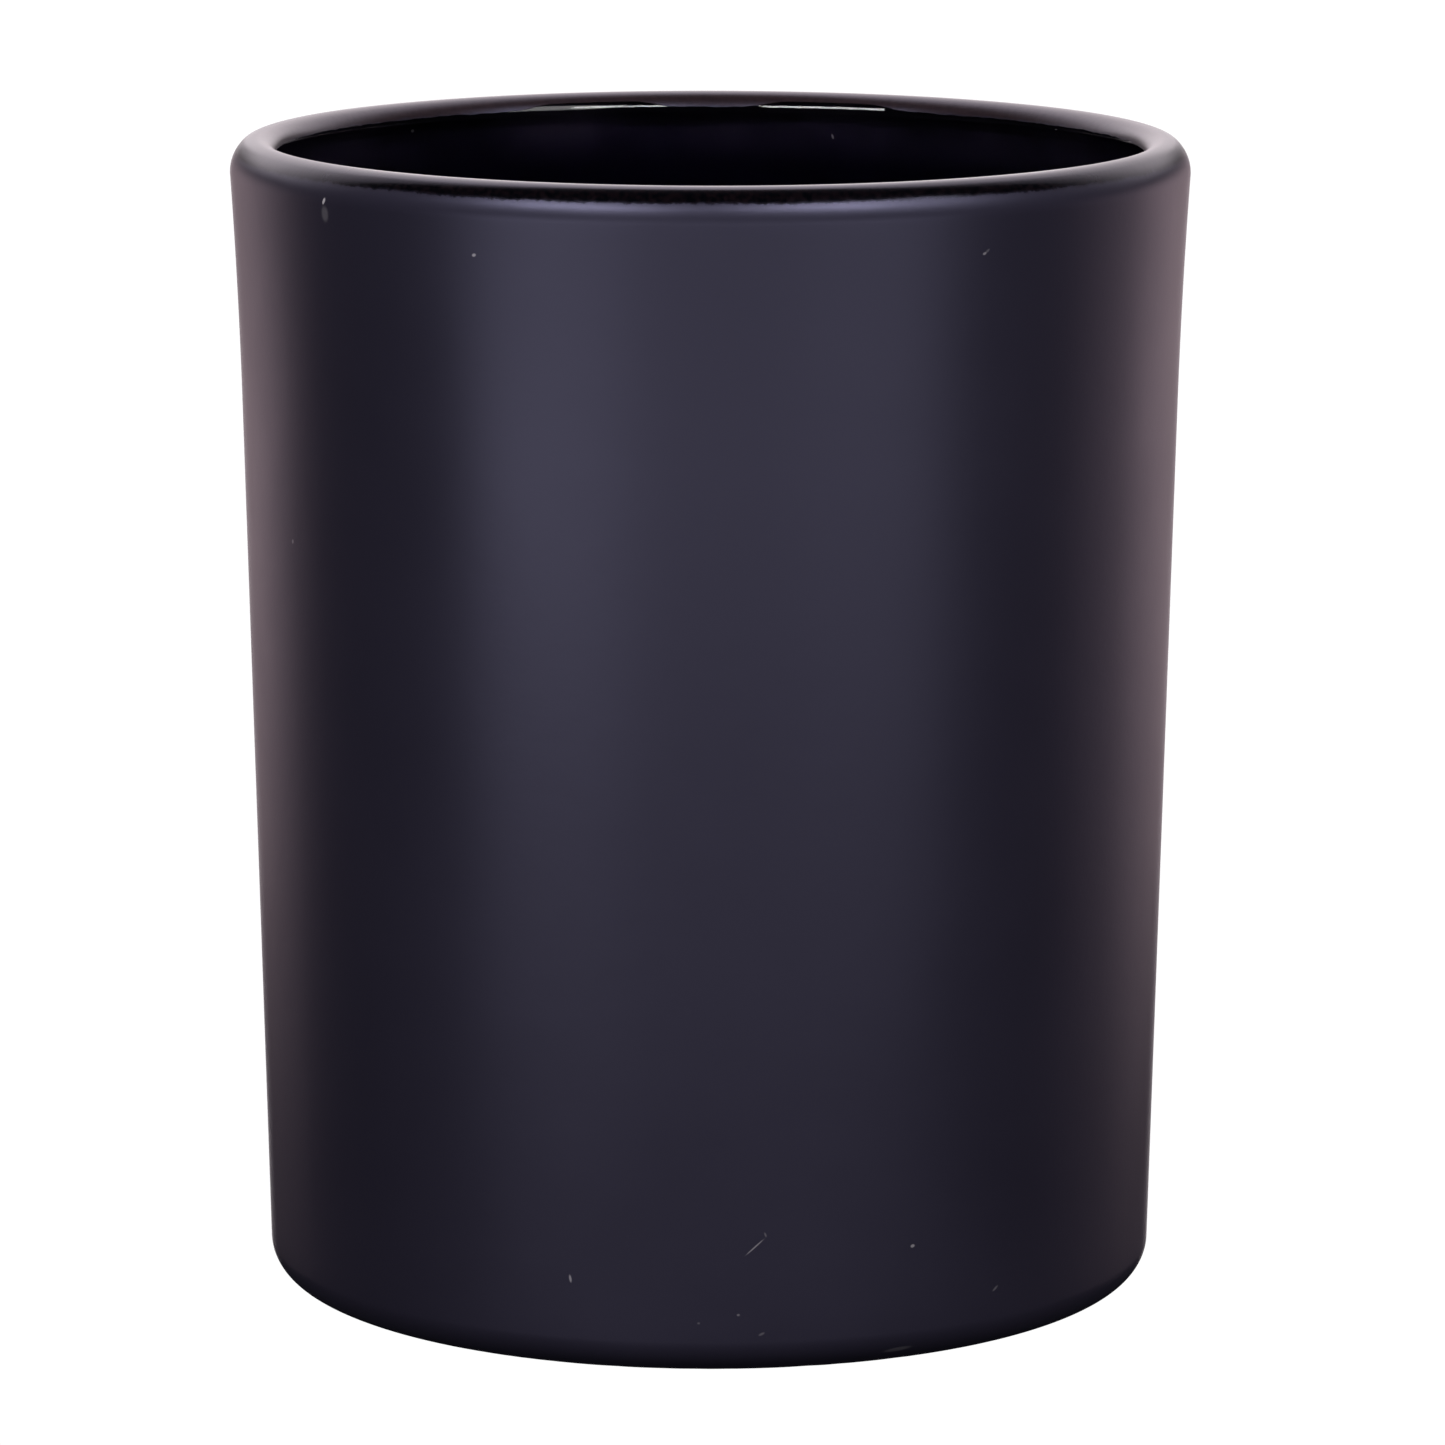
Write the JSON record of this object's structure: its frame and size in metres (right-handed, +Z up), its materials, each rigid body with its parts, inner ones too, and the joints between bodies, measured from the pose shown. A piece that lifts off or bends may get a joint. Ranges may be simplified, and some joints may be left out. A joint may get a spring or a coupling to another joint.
{
  "type": "candle jar",
  "caption": "Empty candle tumbler: slightly tapered clear glass jar with a rounded lip and thick base, sprayed with a matte black film over the lip, wall, heel and underside.",
  "frame": {"origin": "centre of the ring that the jar stands on, in the standing plane", "axes": "+Z up along the jar's axis, out of its mouth; X and Y are free, because the jar is turned"},
  "size_m": [0.0828, 0.0828, 0.1],
  "materials": {
    "clear_glass": "clear, smooth, fire polished",
    "matte_lacquer": "matte black sprayed lacquer"
  },
  "bodies": {
    "root": {"glass_jar": "clear_glass", "wall_coating": "matte_lacquer", "base_coating": "matte_lacquer"}
  },
  "joints": []
}
